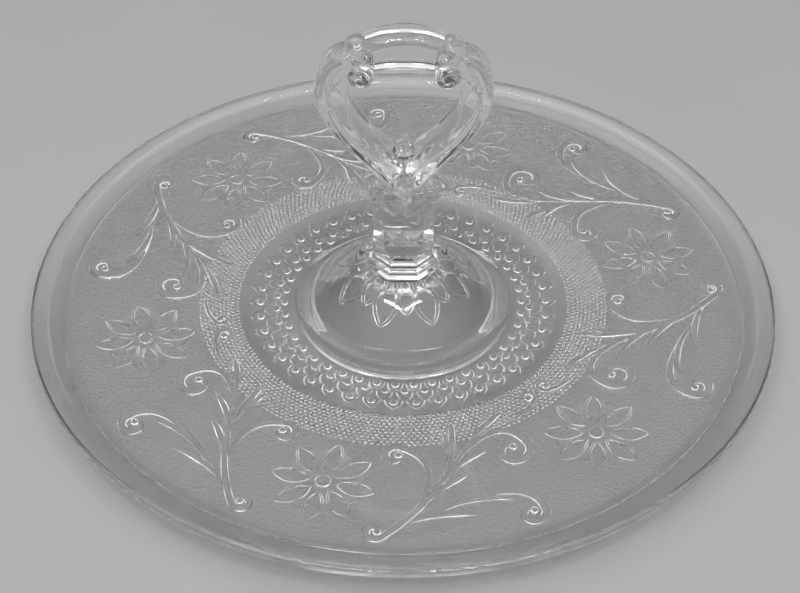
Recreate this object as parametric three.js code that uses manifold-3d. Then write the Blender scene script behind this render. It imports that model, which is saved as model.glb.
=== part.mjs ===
// Handled cake plate in clear pressed glass: a wide, shallow plate with a hollow dome at its centre,
// and a heart-shaped loop of scrolls on a square post, joined hot to the dome's crown.
// The plate's upper side is smooth. Its ornament stands out from the underside and is seen through the glass.
// Millimetres, +Z up. The origin is on the table, on the plate's axis. The handle lies in the XZ plane.

import * as THREE from 'three';
import { mergeVertices } from 'three/addons/utils/BufferGeometryUtils.js';
import Module from 'manifold-3d';

const wasm = await Module();
wasm.setup();

// Plate: widths in plan, outwards from the dome's flange and inwards from the lip
const PLATE_RADIUS = 165;
const RIM_WIDTH = 16.5;
const LIP_WIDTH = 8;
const WELL_WIDTH = 21;
const BAND_WIDTH = 7;
const FOOT_WIDTH = 5;
const PLATE_SIDES = 72;

// Plate: wall and heights
const GLASS = 5;
const FOOT_HEIGHT = 2.4;
const BAND_RISE = 2.2;
const BORDER_RISE = 1.4;
const RIM_RISE = 4.2;
const LIP_FALL = 1;

// Dome at the centre: a rounded flange, a straight slope and a flat crown
const FLANGE_WIDTH = 8;
const FLANGE_HEIGHT = 3.8;
const DOME_RADIUS = 40;
const DOME_HEIGHT = 20;
const DOME_WALL = 5.5;
const CROWN_WALL = 7.5;
const CROWN_LEDGE = 0.4;
const CROWN_ROUND = 1.2;
const MOUTH_HEIGHT = 1.5;

// Relief: how far it stands out from the underside, and how far its edges are sunk into it
const RELIEF_HEIGHT = 1.2;
const RELIEF_ROOT = 0.3;

// Relief: six flowers in the border, and the three axes about which the sprays between them are mirrored
const FLOWER_COUNT = 6;
const FLOWER_TURN = 13.9;
const FLOWER_ACROSS = 0.555;
const FLOWER_RADIUS = 22;
const FLOWER_BEAD = 3.6;
const PETAL_COUNT = 8;
const PETAL_START = 4;
const PETAL_WIDTH = 8;
const PAIR_COUNT = 3;
const PAIR_TURN = 73.9;

// Relief: one spray, in degrees from its pair's axis and in shares of the way across the border.
// A scroll's curl is a share of the border's width, and it turns one way on each side of the axis.
const SCROLLS = [
  { root: [29.5, 0.34], bend: [36, 0.69], eye: [47.3, 0.905], curl: 0.07, turn: 1 },
  { root: [43, 0.85], bend: [25, 0.665], eye: [22.4, 0.905], curl: 0.08, turn: 1 },
  { root: [33, 0.445], bend: [16.5, 0.15], eye: [17.2, 0.38], curl: 0.1, turn: 1 },
  { root: [42, 0.785], bend: [36.5, 0.425], eye: [45.7, 0.285], curl: 0.08, turn: -1 },
];
const LEAVES = [
  { root: [35.5, 0.515], bend: [31, 0.28], tip: [29.2, 0.045] },
  { root: [38, 0.61], bend: [34.2, 0.33], tip: [32.5, 0.14] },
  { root: [29.7, 0.33], bend: [16.2, 0.175], tip: [5.5, 0.14] },
];
const STROKE_WIDTH = 3.6;
const STEM_STEPS = 3;
const COIL_STEPS = 6;
const COIL_TURN = 1.7 * Math.PI;
const COIL_EYE = 0.3;
const SCROLL_END = 0.45;

// Relief: the ring of pointed knobs round the foot, and the flower in the hollow of the dome
const KNOB_COUNT = 42;
const KNOB_TURN = 5.1;
const KNOB_WIDTH = 6;
const KNOB_CLEARANCE = 4;
const KNOB_PEAK = 0.4;
const HOLLOW_PETAL_COUNT = 8;
const HOLLOW_PETAL_TURN = 26;
const HOLLOW_PETAL_START = 4;
const HOLLOW_PETAL_WIDTH = 10;
const HOLLOW_PETAL_DROP = 10.5;

// Handle: collar and post
const BOND_GAP = 0.3;
const COLLAR_RADIUS = 16.8;
const COLLAR_STEPS = 3;
const COLLAR_RISER = 0.6;
const COLLAR_HEIGHT = 7;
const WAIST_RADIUS = 11.6;
const POST_WIDTH = 26.6;
const POST_DEPTH = 19;
const POST_CHAMFER = 4.6;
const POST_FLARE = 7;
const POST_HEIGHT = 28;
const POST_SHOULDER = 3;

// Handle: the heart-shaped loop, with its heights measured from the top of the post
const LOOP_HALF_WIDTH = 29.8;
const LOOP_ROOT = 3.5;
const LOOP_WIDEST = 48;
const LOOP_SHOULDER = 63.5;
const LOOP_SHOULDER_HALF = 18.5;
const ARM_LEAN = 53;
const ARM_LOW_REACH = 0.4;
const ARM_HIGH_REACH = 0.5;
const ARM_SWELL_START = 0.2;
const ARM_SWELL_END = 0.7;
const ARM_ROOT_END = 0.35;
const ARM_WIDTH_LOW = 11.6;
const ARM_WIDTH_HIGH = 14;
const ARM_DEPTH = 15;
const ARM_STEPS = 20;
const ARM_SIDES = 12;
const BAR_SQUARENESS = 2.6;

// Handle: the bowed bar that closes the loop at the top
const ARCH_HEIGHT = 17;
const ARCH_END_HEIGHT = 12.6;
const ARCH_BOW = 6;
const ARCH_STEPS = 12;

// Handle: the round scroll ends that stand out at the front and back, and the heart's pointed tail
const VOLUTE_RADIUS = 4.9;
const VOLUTE_PROUD = 6;
const VOLUTE_DROP = 1.6;
const VOLUTE_SIDES = 16;
const BOSS_RADIUS = 4.9;
const BOSS_LIFT = 12;
const EAR_RADIUS = 4.2;
const EAR_SPAN = 15;
const TAIL_LENGTH = 13;
const TAIL_HALF_WIDTH = 6.5;
const TAIL_PROUD = 1.2;
const TAIL_BITE = 1.5;

const clearGlass = () => new THREE.MeshStandardMaterial({ color: 0xe9efec, roughness: 0.03, metalness: 0 });
const { degToRad, lerp, smoothstep } = THREE.MathUtils;
const AXIS = new THREE.Vector2(0, 0);

// Heights and radii that follow from the sizes above
const collarCorner = COLLAR_RADIUS / Math.cos(Math.PI / 8);
const crownRadius = collarCorner + CROWN_LEDGE + CROWN_ROUND;
const flangeEdge = DOME_RADIUS + FLANGE_WIDTH;
const wellEdge = flangeEdge + WELL_WIDTH;
const bandEdge = wellEdge + BAND_WIDTH;
const borderEdge = PLATE_RADIUS - RIM_WIDTH;
const borderWidth = borderEdge - bandEdge;
const lipCentre = PLATE_RADIUS - GLASS / 2;
const bandUnder = FOOT_HEIGHT + BAND_RISE;
const borderUnder = bandUnder + BORDER_RISE;
const rimUnder = borderUnder + RIM_RISE;
const wellTop = FOOT_HEIGHT + GLASS;
const flangeTop = wellTop + FLANGE_HEIGHT;
const crownTop = flangeTop + DOME_HEIGHT;
const seat = crownTop + BOND_GAP;
const waist = seat + COLLAR_HEIGHT;
const postFoot = waist + POST_FLARE;
const postTop = postFoot + POST_HEIGHT;

// The hollow under the dome keeps the dome's slope, one wall away from it
const slope = Math.atan2(DOME_HEIGHT, DOME_RADIUS - crownRadius);
const hollowRadius = (z) => DOME_RADIUS - DOME_WALL / Math.sin(slope) - (z - flangeTop) / Math.tan(slope);
const ceiling = crownTop - CROWN_WALL;
const ceilingRadius = hollowRadius(ceiling);
const mouth = hollowRadius(MOUTH_HEIGHT);
const footRadius = mouth + FOOT_WIDTH;

// Solids: a closed geometry becomes a manifold, and a manifold becomes a mesh's geometry again
function solid(geometry) {
  const bare = geometry.clone();
  bare.deleteAttribute('normal');
  bare.deleteAttribute('uv');
  const merged = mergeVertices(bare, 1e-5);
  const vertProperties = new Float32Array(merged.attributes.position.array);
  const triVerts = new Uint32Array(merged.index.array);
  return new wasm.Manifold(new wasm.Mesh({ numProp: 3, vertProperties, triVerts }));
}

function toGeometry(manifold) {
  const { vertProperties, triVerts } = manifold.getMesh();
  const geometry = new THREE.BufferGeometry();
  geometry.setAttribute('position', new THREE.BufferAttribute(vertProperties, 3));
  geometry.setIndex(new THREE.BufferAttribute(triVerts, 1));
  geometry.computeVertexNormals();
  return geometry;
}

const union = (manifolds) => manifolds.reduce((whole, next) => whole.add(next));

// Loft: rings of as many points each, turning anticlockwise about the way the rings follow each other
function loft(rings) {
  const sides = rings[0].length;
  const index = [];
  for (let i = 0; i + 1 < rings.length; i++) {
    for (let j = 0; j < sides; j++) {
      const a = i * sides + j;
      const b = i * sides + (j + 1) % sides;
      index.push(a, b, b + sides, a, b + sides, a + sides);
    }
  }
  const last = (rings.length - 1) * sides;
  for (let j = 1; j + 1 < sides; j++) {
    index.push(0, j + 1, j, last, last + j, last + j + 1);
  }
  const geometry = new THREE.BufferGeometry();
  const positions = rings.flat().flatMap((point) => point.toArray());
  geometry.setAttribute('position', new THREE.Float32BufferAttribute(positions, 3));
  geometry.setIndex(index);
  return geometry;
}

// Sweep: a rounded bar along a curve in the XZ plane, its width in the plane and its depth along Y
function sweep(curve, steps, sides, widthAt, depthAt) {
  const round = (value) => Math.sign(value) * Math.abs(value) ** (2 / BAR_SQUARENESS);
  const rings = [];
  for (let i = 0; i <= steps; i++) {
    const t = i / steps;
    const centre = curve.getPoint(t);
    const along = curve.getTangent(t);
    const across = new THREE.Vector3(along.z, 0, -along.x);
    const ring = [];
    for (let j = 0; j < sides; j++) {
      const turn = 2 * Math.PI * (j + 0.5) / sides;
      const point = centre.clone().addScaledVector(across, round(Math.cos(turn)) * widthAt(t) / 2);
      point.y += round(Math.sin(turn)) * depthAt(t) / 2;
      ring.push(point);
    }
    rings.push(ring);
  }
  return solid(loft(rings));
}

// Plate: one revolved section, from the ceiling of the hollow out under the plate, round the lip and back
function plateSection() {
  const footEdge = footRadius - FOOT_HEIGHT / 2;
  const section = new THREE.Path();
  section.moveTo(0, ceiling);
  section.lineTo(ceilingRadius, ceiling);
  section.lineTo(mouth, MOUTH_HEIGHT);
  section.lineTo(mouth, 0);
  section.lineTo(footEdge, 0);
  section.quadraticCurveTo(footRadius, 0, footRadius, FOOT_HEIGHT);
  section.lineTo(wellEdge, FOOT_HEIGHT);
  section.lineTo(bandEdge, bandUnder);
  section.lineTo(borderEdge, borderUnder);
  section.lineTo(lipCentre, rimUnder);
  section.absarc(lipCentre, rimUnder + GLASS / 2, GLASS / 2, -Math.PI / 2, Math.PI / 2);
  section.lineTo(PLATE_RADIUS - LIP_WIDTH, rimUnder + GLASS - LIP_FALL);
  section.lineTo(borderEdge, borderUnder + GLASS);
  section.lineTo(bandEdge, bandUnder + GLASS);
  section.lineTo(wellEdge, wellTop);
  section.lineTo(flangeEdge, wellTop);
  section.absarc(flangeEdge - FLANGE_HEIGHT, wellTop, FLANGE_HEIGHT, 0, Math.PI / 2);
  section.lineTo(DOME_RADIUS, flangeTop);
  section.lineTo(crownRadius + CROWN_ROUND * Math.cos(slope), crownTop - CROWN_ROUND * Math.sin(slope));
  section.quadraticCurveTo(crownRadius, crownTop, crownRadius - CROWN_ROUND, crownTop);
  section.lineTo(0, crownTop);
  return section;
}

function makePlateBlank() {
  const curveSteps = 3;
  const points = plateSection().getPoints(curveSteps);
  const geometry = new THREE.LatheGeometry(points, PLATE_SIDES);
  geometry.rotateX(Math.PI / 2);
  return solid(geometry);
}

// Surfaces that carry the relief: the height at a distance from the axis
function underside(radius) {
  const corners = [[0, FOOT_HEIGHT], [wellEdge, FOOT_HEIGHT], [bandEdge, bandUnder],
    [borderEdge, borderUnder], [lipCentre, rimUnder]];
  const outer = corners.find(([edge]) => edge >= radius) ?? corners.at(-1);
  const inner = corners[Math.max(corners.indexOf(outer) - 1, 0)];
  return THREE.MathUtils.mapLinear(radius, inner[0], outer[0], inner[1], outer[1]);
}

function hollowSide(radius) {
  return radius < ceilingRadius ? ceiling : ceiling - (radius - ceilingRadius) * Math.tan(slope);
}

// Ridge: a three-sided bar along a path in plan, standing out below a surface, its edges sunk into it
const sunk = (point, surface) => new THREE.Vector3(point.x, point.y, surface(point.length()) + RELIEF_ROOT);
const proud = (point, surface, rise) => new THREE.Vector3(point.x, point.y, surface(point.length()) - rise);

function ridge(path, surface, swell) {
  const rings = path.map((point, i) => {
    const before = path[Math.max(i - 1, 0)];
    const after = path[Math.min(i + 1, path.length - 1)];
    const share = swell(i / (path.length - 1));
    const halfWidth = share * STROKE_WIDTH / 2;
    const left = after.clone().sub(before).setLength(halfWidth).rotateAround(AXIS, Math.PI / 2);
    return [
      sunk(point.clone().add(left), surface),
      sunk(point.clone().sub(left), surface),
      proud(point, surface, share * RELIEF_HEIGHT),
    ];
  });
  return solid(loft(rings));
}

// Leaf: a pointed form with one peak, from its root over its widest place to its tip
function leaf(root, middle, tip, width, surface) {
  const way = tip.clone().sub(root).setLength(width / 2).rotateAround(AXIS, Math.PI / 2);
  const left = new THREE.Vector3(way.x, way.y, 0);
  const widest = sunk(middle, surface);
  const peak = proud(middle, surface, RELIEF_HEIGHT);
  const sides = [widest.clone().sub(left), widest.clone().add(left)];
  const points = [sunk(root, surface), sides[0], sunk(tip, surface), sides[1], peak];
  const geometry = new THREE.BufferGeometry().setFromPoints(points);
  geometry.setIndex([0, 1, 3, 1, 2, 3, 1, 0, 4, 2, 1, 4, 3, 2, 4, 0, 3, 4]);
  return solid(geometry);
}

// Plan: a point by its angle and distance from the axis, and by its share of the way across the border
const polar = (angle, radius) => new THREE.Vector2(radius, 0).rotateAround(AXIS, degToRad(angle));
const inBorder = (angle, across) => polar(angle, lerp(bandEdge, borderEdge, across));

// Scroll: a stem that bends once and then winds in round an eye
function scrollPath(root, bend, eye, curl, turn) {
  const toEye = eye.clone().sub(bend);
  const aside = Math.asin(curl / toEye.length());
  const stemReach = Math.sqrt(toEye.lengthSq() - curl ** 2);
  const touch = toEye.clone().setLength(stemReach).rotateAround(AXIS, -turn * aside).add(bend);
  const stem = new THREE.QuadraticBezierCurve(root, bend, touch).getPoints(STEM_STEPS);
  const spoke = touch.clone().sub(eye);
  const coil = Array.from({ length: COIL_STEPS }, (_, i) => {
    const t = (i + 1) / COIL_STEPS;
    const reach = lerp(1, COIL_EYE, t);
    return spoke.clone().multiplyScalar(reach).rotateAround(AXIS, turn * COIL_TURN * t).add(eye);
  });
  return [...stem, ...coil];
}

function makeSpray(axis, side) {
  const at = ([angle, across]) => inBorder(axis + side * angle, across);
  const swell = (t) => lerp(SCROLL_END, 1, Math.sin(Math.PI * t));
  const scrolls = SCROLLS.map(({ root, bend, eye, curl, turn }) => {
    const path = scrollPath(at(root), at(bend), at(eye), curl * borderWidth, side * turn);
    return ridge(path, underside, swell);
  });
  const leaves = LEAVES.map(({ root, bend, tip }) => (
    leaf(at(root), at(bend), at(tip), STROKE_WIDTH, underside)
  ));
  return [...scrolls, ...leaves];
}

function makeSprays() {
  const axes = Array.from({ length: PAIR_COUNT }, (_, i) => PAIR_TURN + i * 360 / PAIR_COUNT);
  return axes.flatMap((axis) => [...makeSpray(axis, 1), ...makeSpray(axis, -1)]);
}

// Flower: pointed petals round a bead
function makeFlower(angle) {
  const centre = inBorder(angle, FLOWER_ACROSS);
  const petals = Array.from({ length: PETAL_COUNT }, (_, i) => {
    const along = (reach) => polar(angle + i * 360 / PETAL_COUNT, reach).add(centre);
    const widest = (PETAL_START + FLOWER_RADIUS) / 2;
    return leaf(along(PETAL_START), along(widest), along(FLOWER_RADIUS), PETAL_WIDTH, underside);
  });
  const bead = new THREE.SphereGeometry(FLOWER_BEAD, 8, 4);
  bead.rotateX(Math.PI / 2);
  bead.scale(1, 1, RELIEF_HEIGHT / FLOWER_BEAD);
  bead.translate(centre.x, centre.y, underside(centre.length()));
  return [...petals, solid(bead)];
}

function makeFlowers() {
  const turns = Array.from({ length: FLOWER_COUNT }, (_, i) => FLOWER_TURN + i * 360 / FLOWER_COUNT);
  return turns.flatMap(makeFlower);
}

// Knobs: pointed outwards, in a ring between the foot and the edge of the well
function makeKnobs() {
  const start = footRadius + KNOB_CLEARANCE;
  const peak = lerp(start, wellEdge, KNOB_PEAK);
  return Array.from({ length: KNOB_COUNT }, (_, i) => {
    const out = (radius) => polar(KNOB_TURN + i * 360 / KNOB_COUNT, radius);
    return leaf(out(start), out(peak), out(wellEdge), KNOB_WIDTH, underside);
  });
}

// Petals of the hollow: out over its ceiling, widest at the edge, and some way down its side
function makeHollowPetals() {
  const tip = ceilingRadius + HOLLOW_PETAL_DROP;
  return Array.from({ length: HOLLOW_PETAL_COUNT }, (_, i) => {
    const out = (radius) => polar(HOLLOW_PETAL_TURN + i * 360 / HOLLOW_PETAL_COUNT, radius);
    return leaf(out(HOLLOW_PETAL_START), out(ceilingRadius), out(tip), HOLLOW_PETAL_WIDTH, hollowSide);
  });
}

function makePlate() {
  return union([makePlateBlank(), ...makeSprays(), ...makeFlowers(), ...makeKnobs(), ...makeHollowPetals()]);
}

// Collar and post: eight-sided sections, from a spread foot through a waist to a square with cut corners
function eightSides(z, width, depth, chamfer) {
  const x = width / 2;
  const y = depth / 2;
  const corners = [
    [x, y - chamfer], [x - chamfer, y], [chamfer - x, y], [-x, y - chamfer],
    [-x, chamfer - y], [chamfer - x, -y], [x - chamfer, -y], [x, chamfer - y],
  ];
  return corners.map(([px, py]) => new THREE.Vector3(px, py, z));
}

function makePost() {
  const evenChamfer = (radius) => radius * (2 - Math.SQRT2);
  const octagon = (z, radius) => eightSides(z, 2 * radius, 2 * radius, evenChamfer(radius));
  const stepHeight = COLLAR_HEIGHT / COLLAR_STEPS;
  const rings = [];
  for (let i = 0; i < COLLAR_STEPS; i++) {
    const radius = lerp(COLLAR_RADIUS, WAIST_RADIUS, i / COLLAR_STEPS);
    rings.push(octagon(seat + i * stepHeight, radius));
    rings.push(octagon(seat + (i + COLLAR_RISER) * stepHeight, radius));
  }
  rings.push(octagon(waist, WAIST_RADIUS));
  rings.push(eightSides(postFoot, POST_WIDTH, POST_DEPTH, POST_CHAMFER));
  rings.push(eightSides(postTop - POST_SHOULDER, POST_WIDTH, POST_DEPTH, POST_CHAMFER));
  rings.push(eightSides(postTop, POST_WIDTH - POST_SHOULDER, POST_DEPTH - POST_SHOULDER, POST_CHAMFER));
  return solid(loft(rings));
}

// Arms: from the axis above the post, out and up to the widest point, then in to the shoulder
function armCurve(side) {
  const at = (x, height) => new THREE.Vector3(side * x, 0, postTop + height);
  const lean = degToRad(ARM_LEAN);
  const lowReach = (LOOP_WIDEST - LOOP_ROOT) * ARM_LOW_REACH;
  const highReach = (LOOP_SHOULDER - LOOP_WIDEST) * ARM_HIGH_REACH;
  const lower = new THREE.CubicBezierCurve3(
    at(0, LOOP_ROOT),
    at(lowReach * Math.cos(lean), LOOP_ROOT + lowReach * Math.sin(lean)),
    at(LOOP_HALF_WIDTH, LOOP_WIDEST - lowReach),
    at(LOOP_HALF_WIDTH, LOOP_WIDEST),
  );
  const upper = new THREE.CubicBezierCurve3(
    at(LOOP_HALF_WIDTH, LOOP_WIDEST),
    at(LOOP_HALF_WIDTH, LOOP_WIDEST + highReach),
    at(LOOP_SHOULDER_HALF + highReach, LOOP_SHOULDER),
    at(LOOP_SHOULDER_HALF, LOOP_SHOULDER),
  );
  const curve = new THREE.CurvePath();
  curve.add(lower);
  curve.add(upper);
  return curve;
}

function makeArm(side) {
  const rootDepth = POST_DEPTH + 2 * TAIL_PROUD;
  const width = (t) => lerp(ARM_WIDTH_LOW, ARM_WIDTH_HIGH, smoothstep(t, ARM_SWELL_START, ARM_SWELL_END));
  const depth = (t) => lerp(rootDepth, ARM_DEPTH, smoothstep(t, 0, ARM_ROOT_END));
  return sweep(armCurve(side), ARM_STEPS, ARM_SIDES, width, depth);
}

// Arch: a bowed bar between the two shoulders, thickest in the middle
function makeArch() {
  const end = LOOP_SHOULDER_HALF;
  const endHeight = postTop + LOOP_SHOULDER;
  const curve = new THREE.QuadraticBezierCurve3(
    new THREE.Vector3(-end, 0, endHeight),
    new THREE.Vector3(0, 0, endHeight + 2 * ARCH_BOW),
    new THREE.Vector3(end, 0, endHeight),
  );
  const height = (t) => lerp(ARCH_END_HEIGHT, ARCH_HEIGHT, Math.sin(Math.PI * t));
  return sweep(curve, ARCH_STEPS, ARM_SIDES, height, () => ARM_DEPTH);
}

// Volute: a round-ended roll of glass right through the bar
function makeVolute(x, z, radius, span) {
  const capSteps = 4;
  const profile = new THREE.Path();
  profile.absarc(0, radius - span / 2, radius, -Math.PI / 2, 0);
  profile.absarc(0, span / 2 - radius, radius, 0, Math.PI / 2);
  const geometry = new THREE.LatheGeometry(profile.getPoints(capSteps), VOLUTE_SIDES);
  geometry.translate(x, 0, z);
  return solid(geometry);
}

function makeVolutes() {
  const loopSpan = ARM_DEPTH + 2 * VOLUTE_PROUD;
  const shoulder = postTop + LOOP_SHOULDER;
  const earOffset = (POST_WIDTH - POST_SHOULDER) / 2;
  const pairs = [1, -1].flatMap((side) => [
    makeVolute(side * LOOP_SHOULDER_HALF, shoulder - VOLUTE_DROP, VOLUTE_RADIUS, loopSpan),
    makeVolute(side * earOffset, postTop - POST_SHOULDER / 2, EAR_RADIUS, EAR_SPAN),
  ]);
  return [...pairs, makeVolute(0, postTop + BOSS_LIFT, BOSS_RADIUS, loopSpan)];
}

// Tail: the heart's pointed end, standing a little proud of the post at the front and the back
function makeTail() {
  const outline = new THREE.Shape();
  outline.moveTo(0, -TAIL_LENGTH);
  outline.quadraticCurveTo(TAIL_HALF_WIDTH / 3, -TAIL_LENGTH / 3, TAIL_HALF_WIDTH, 0);
  outline.quadraticCurveTo(0, 2 * (LOOP_ROOT + TAIL_BITE), -TAIL_HALF_WIDTH, 0);
  outline.quadraticCurveTo(-TAIL_HALF_WIDTH / 3, -TAIL_LENGTH / 3, 0, -TAIL_LENGTH);
  const depth = POST_DEPTH + 2 * TAIL_PROUD;
  const geometry = new THREE.ExtrudeGeometry(outline, { depth, bevelEnabled: false, curveSegments: 5 });
  geometry.translate(0, 0, -depth / 2);
  geometry.rotateX(Math.PI / 2);
  geometry.translate(0, 0, postTop);
  return solid(geometry);
}

function makeHandle() {
  return union([makePost(), makeArm(1), makeArm(-1), makeArch(), ...makeVolutes(), makeTail()]);
}

function piece(name, manifold) {
  const mesh = new THREE.Mesh(toGeometry(manifold), clearGlass());
  mesh.name = name;
  return mesh;
}

const cakePlate = new THREE.Group();
cakePlate.add(piece('plate', makePlate()));
cakePlate.add(piece('handle', makeHandle()));

export default cakePlate;
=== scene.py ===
"""Handled cake plate in clear pressed glass, built around its CAD frame and set on a plain pale floor."""

import math

import bmesh
import bpy
from bpy.props import FloatProperty, FloatVectorProperty, IntProperty, PointerProperty
from mathutils import Matrix, Vector
from mathutils.bvhtree import BVHTree


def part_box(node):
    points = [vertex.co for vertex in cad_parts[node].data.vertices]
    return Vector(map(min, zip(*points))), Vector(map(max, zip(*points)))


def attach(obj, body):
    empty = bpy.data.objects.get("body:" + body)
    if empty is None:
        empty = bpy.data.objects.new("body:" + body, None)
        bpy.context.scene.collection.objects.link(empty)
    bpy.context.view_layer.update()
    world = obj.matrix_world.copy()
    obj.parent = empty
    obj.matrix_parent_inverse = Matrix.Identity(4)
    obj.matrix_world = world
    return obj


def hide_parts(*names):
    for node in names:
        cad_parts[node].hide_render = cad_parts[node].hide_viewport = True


bl_info = {
    "name": "Handled Cake Plate",
    "version": (1, 0, 0),
    "blender": (4, 5, 0),
    "location": "View3D > Sidebar > Cake Plate",
    "description": "Pressed glass cake plate with relief under the plate and a scrolled handle",
    "category": "Object",
}

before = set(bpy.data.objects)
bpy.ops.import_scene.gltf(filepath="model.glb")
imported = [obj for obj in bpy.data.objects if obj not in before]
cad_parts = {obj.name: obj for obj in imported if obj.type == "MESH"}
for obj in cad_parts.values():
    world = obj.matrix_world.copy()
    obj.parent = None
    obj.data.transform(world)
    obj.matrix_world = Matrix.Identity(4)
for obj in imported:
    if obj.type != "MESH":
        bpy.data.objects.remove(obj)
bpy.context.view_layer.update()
PLATE_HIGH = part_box("plate")[1]
HANDLE_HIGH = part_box("handle")[1]

MM = 0.001
TINY = 0.001 * MM
AXIS = Vector((0, 0, 1))
ORIGIN = Vector((0, 0, 0))

# Sides of a fine stroke of the relief, and of a thick bar of the handle
STROKE_SIDES = 8
BAR_SIDES = 28

# Places of the finishes on the plate, and of the joint's finish on the handle
STIPPLED, JOINT, PRESSED = 1, 2, 3
HANDLE_JOINT = 1

# One spray of the border: degrees from its pair's axis, and shares of the way across the border.
# A scroll's stem leaves its root by way of two handles and winds in round an eye; its curl is a share
# of the border's width.
SCROLLS = [
    {"root": (4.8, 0.12), "lean": (35.2, 0.26), "bend": (32.2, 0.57),
     "eye": (48.6, 0.87), "curl": 0.06, "turn": 1},
    {"root": (42.0, 0.79), "lean": (37.1, 0.74), "bend": (17.8, 0.53),
     "eye": (21.9, 0.86), "curl": 0.08, "turn": 1},
    {"root": (33.0, 0.41), "lean": (28.5, 0.29), "bend": (13.8, 0.08),
     "eye": (18.3, 0.39), "curl": 0.11, "turn": 1},
    {"root": (40.0, 0.66), "lean": (39.2, 0.52), "bend": (34.7, 0.34),
     "eye": (45.8, 0.295), "curl": 0.075, "turn": -1},
    {"root": (16.0, 0.17), "lean": (12.0, 0.18), "bend": (7.0, 0.18),
     "eye": (3.6, 0.08), "curl": 0.045, "turn": -1},
]
LEAVES = [
    {"root": (40.5, 0.68), "bend": (35.5, 0.52), "tip": (30.0, 0.485)},
    {"root": (37.8, 0.57), "bend": (32.0, 0.36), "tip": (23.8, 0.34)},
    {"root": (27.5, 0.25), "bend": (20.5, 0.135), "tip": (14.5, 0.10)},
    {"root": (46.5, 0.86), "bend": (38.0, 0.70), "tip": (31.0, 0.79)},
    {"root": (39.0, 0.745), "bend": (29.5, 0.62), "tip": (23.6, 0.735)},
    {"root": (35.5, 0.515), "bend": (31.0, 0.28), "tip": (29.2, 0.045)},
    {"root": (33.0, 0.41), "bend": (31.5, 0.25), "tip": (33.0, 0.13)},
]


class PlateSizes(bpy.types.PropertyGroup):
    """Sizes of the plate and its hollow dome"""
    radius: FloatProperty(
        name="Radius", description="Radius of the plate at its lip",
        default=PLATE_HIGH.x, unit="LENGTH")
    crown: FloatProperty(
        name="Crown", description="Height of the dome's crown, where the handle is joined",
        default=PLATE_HIGH.z, unit="LENGTH")
    glass: FloatProperty(
        name="Glass", description="Thickness of the plate", default=5 * MM, unit="LENGTH")
    relief: FloatProperty(
        name="Relief", description="How far the ornament stands out under the plate",
        default=1.3 * MM, unit="LENGTH")
    stroke: FloatProperty(
        name="Stroke", description="Width of a scroll of the ornament", default=4.2 * MM, unit="LENGTH")
    scales: IntProperty(
        name="Scales", description="Scales in each row of the ring round the foot", default=42, min=3)
    steps: IntProperty(
        name="Steps", description="Steps of the plate's full turn", default=126, min=24)


class HandleSizes(bpy.types.PropertyGroup):
    """Sizes of the scrolled handle"""
    half_width: FloatProperty(
        name="Half Width", description="From the axis to the middle of an arm at its widest",
        default=29.8 * MM, unit="LENGTH")
    top: FloatProperty(
        name="Top", description="Height of the top of the loop",
        default=HANDLE_HIGH.z - 0.08 * MM, unit="LENGTH")
    volute: FloatProperty(
        name="Volute", description="Radius of a scroll end", default=5.3 * MM, unit="LENGTH")
    voxel: FloatProperty(
        name="Voxel", description="Grain at which the bars are melted together",
        default=0.6 * MM, unit="LENGTH")


class GlassFinish(bpy.types.PropertyGroup):
    """Finish of the glass"""
    tint: FloatVectorProperty(
        name="Tint", description="Colour of the glass", subtype="COLOR", size=3,
        default=(0.98, 0.992, 0.987), min=0, max=1)
    ior: FloatProperty(
        name="IOR", description="Index of refraction", default=1.51, min=1, max=2)


class StageSettings(bpy.types.PropertyGroup):
    """Floor, light and camera"""
    floor: FloatVectorProperty(
        name="Floor", description="Colour of the floor", subtype="COLOR", size=3,
        default=(0.40, 0.40, 0.395), min=0, max=1)
    lens: FloatProperty(
        name="Lens", description="Focal length of the camera", default=82.1, subtype="DISTANCE_CAMERA")
    elevation: FloatProperty(
        name="Elevation", description="Height of the camera above the floor's plane",
        default=math.radians(42.04), subtype="ANGLE")
    distance: FloatProperty(
        name="Distance", description="From the camera to the point that it looks at",
        default=0.8204, unit="LENGTH")


# Section of the plate: distances from the axis, heights and rises
FOOT_HEIGHT = 2.4 * MM
WELL_EDGE = 69 * MM
BAND_EDGE = 76 * MM
BAND_UNDER = 4.6 * MM
BORDER_EDGE = 148.5 * MM
BORDER_UNDER = 6.0 * MM
RIM_UNDER = 10.2 * MM
LIP_RADIUS = 2.5 * MM
RIDGE = 151.5 * MM
RIDGE_HALF = 1.1 * MM
RIDGE_RISE = 0.75 * MM
LIP_TOP = RIM_UNDER + 2 * LIP_RADIUS
LIP_INNER = 157.8 * MM
LIP_FOOT = 156.8 * MM
FLANGE_FOOT = 48 * MM
FLANGE_FACE = 47.6 * MM
FLANGE_FACE_RISE = 2.4 * MM
FLANGE_EDGE = 45 * MM
FLANGE_RISE = 3.8 * MM
DOME_FOOT = 40.4 * MM
DOME_SHOULDER = 31.5 * MM
DOME_SHOULDER_RISE = 14.2 * MM
CROWN_EDGE = 19.8 * MM
BORDER_WIDTH = BORDER_EDGE - BAND_EDGE
FOOT_RADIUS = 47 * MM
MOUTH = 42 * MM
CEILING = 23.7 * MM
CEILING_RADIUS = 19.5 * MM
HOLLOW_SLOPE = 0.989

# Rings of petals in the hollow: shares of the pitch, and distances from the axis
HOLLOW_RINGS = {
    "outer": {"shift": 0.0, "start": 13 * MM, "end": 29 * MM, "half_width": 4.8 * MM},
    "inner": {"shift": 0.5, "start": 11 * MM, "end": 24.5 * MM, "half_width": 4.0 * MM},
}

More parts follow.
